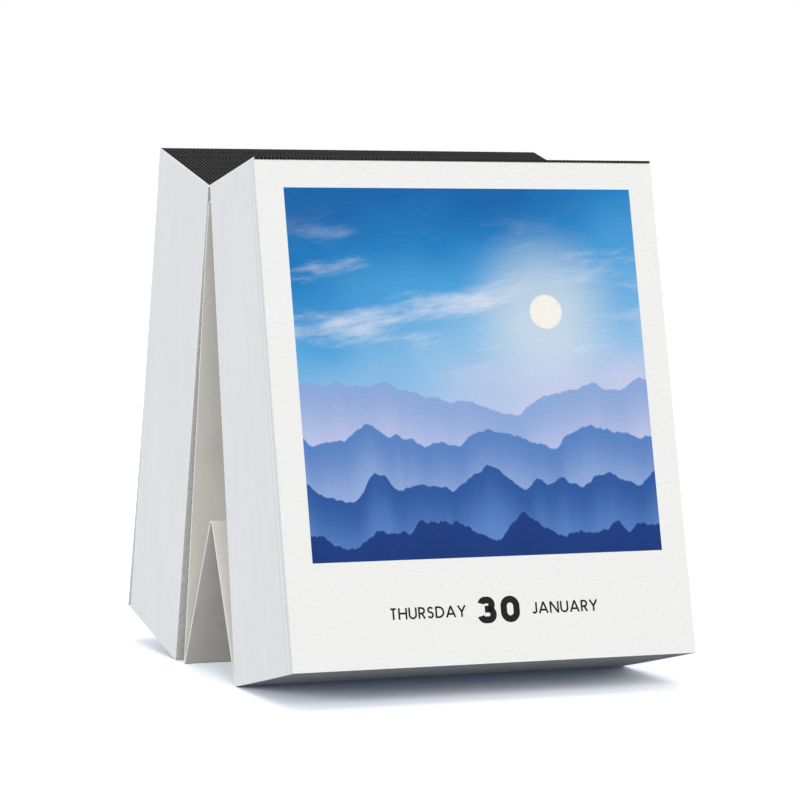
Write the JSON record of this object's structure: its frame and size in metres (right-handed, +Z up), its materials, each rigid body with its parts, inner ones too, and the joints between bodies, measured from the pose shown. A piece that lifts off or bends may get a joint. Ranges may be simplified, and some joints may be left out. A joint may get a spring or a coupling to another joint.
{
  "type": "tear off day calendar",
  "caption": "Desk calendar of two pads of tear-off day sheets, hinged by a book-cloth spine and held open as an easel by a folded card stand.",
  "frame": {"origin": "on the table, under the middle of the easel's width and depth", "axes": "+Z up, +X to the right as the front pad is read, the front pad faces -Y"},
  "size_m": [0.09, 0.1014, 0.1109],
  "materials": {
    "sheet_paper": "uncoated felt-marked paper, off-white",
    "grey_board": "unlined grey board with visible fibres",
    "padding_glue": "dried white padding glue",
    "book_cloth": "charcoal woven book cloth",
    "double_sided_tape": "translucent tissue tape",
    "stand_card": "uncoated cream card, scored and folded"
  },
  "bodies": {
    "front_pad": {"front_backing_board": "grey_board", "june_sheets": "sheet_paper", "may_sheets": "sheet_paper", "april_sheets": "sheet_paper", "march_sheets": "sheet_paper", "february_sheets": "sheet_paper", "front_binding_glue": "padding_glue", "front_spine_cloth": "book_cloth", "front_leg_tape": "double_sided_tape", "stand_front_leg": "stand_card"},
    "tomorrow_leaf": {"tomorrow_sheet": "sheet_paper"},
    "today_leaf": {"today_sheet": "sheet_paper"},
    "rear_pad": {"rear_backing_board": "grey_board", "december_sheets": "sheet_paper", "november_sheets": "sheet_paper", "october_sheets": "sheet_paper", "september_sheets": "sheet_paper", "august_sheets": "sheet_paper", "july_sheets": "sheet_paper", "rear_binding_glue": "padding_glue", "rear_spine_cloth": "book_cloth", "rear_leg_tape": "double_sided_tape", "stand_rear_leg": "stand_card"},
    "rear_leaf": {"first_july_sheet": "sheet_paper"},
    "strut_front": {"strut_front_panel": "stand_card"},
    "strut_rear": {"strut_rear_panel": "stand_card"}
  },
  "joints": [
    {"name": "stand_fold", "type": "hinge", "parent": "front_pad", "child": "rear_pad", "pos_m": [0, 0.00092, 0.10341], "axis": [-1, 0, 0], "range_deg": [0, 13.5]},
    {"name": "strut_front_fold", "type": "hinge", "parent": "front_pad", "child": "strut_front", "pos_m": [0, -0.01713, 0.0004], "axis": [1, 0, 0], "range_deg": [0, 15.6]},
    {"name": "strut_rear_fold", "type": "hinge", "parent": "strut_front", "child": "strut_rear", "pos_m": [0, -0.00127, 0.032], "axis": [-1, 0, 0], "range_deg": [0, 42.5]},
    {"name": "tomorrow_lift", "type": "hinge", "parent": "front_pad", "child": "tomorrow_leaf", "pos_m": [0, -0.02545, 0.10884], "axis": [-1, 0, 0], "range_deg": [0, 45]},
    {"name": "today_lift", "type": "hinge", "parent": "tomorrow_leaf", "child": "today_leaf", "pos_m": [0, -0.02561, 0.10888], "axis": [-1, 0, 0], "range_deg": [0, 100]},
    {"name": "rear_leaf_lift", "type": "hinge", "parent": "rear_pad", "child": "rear_leaf", "pos_m": [0, 0.03273, 0.11014], "axis": [1, 0, 0], "range_deg": [0, 120]}
  ],
  "couplings": [
    {"joint": "strut_front_fold", "follows": "stand_fold", "ratio": 1.148},
    {"joint": "strut_rear_fold", "follows": "stand_fold", "ratio": 3.14}
  ]
}
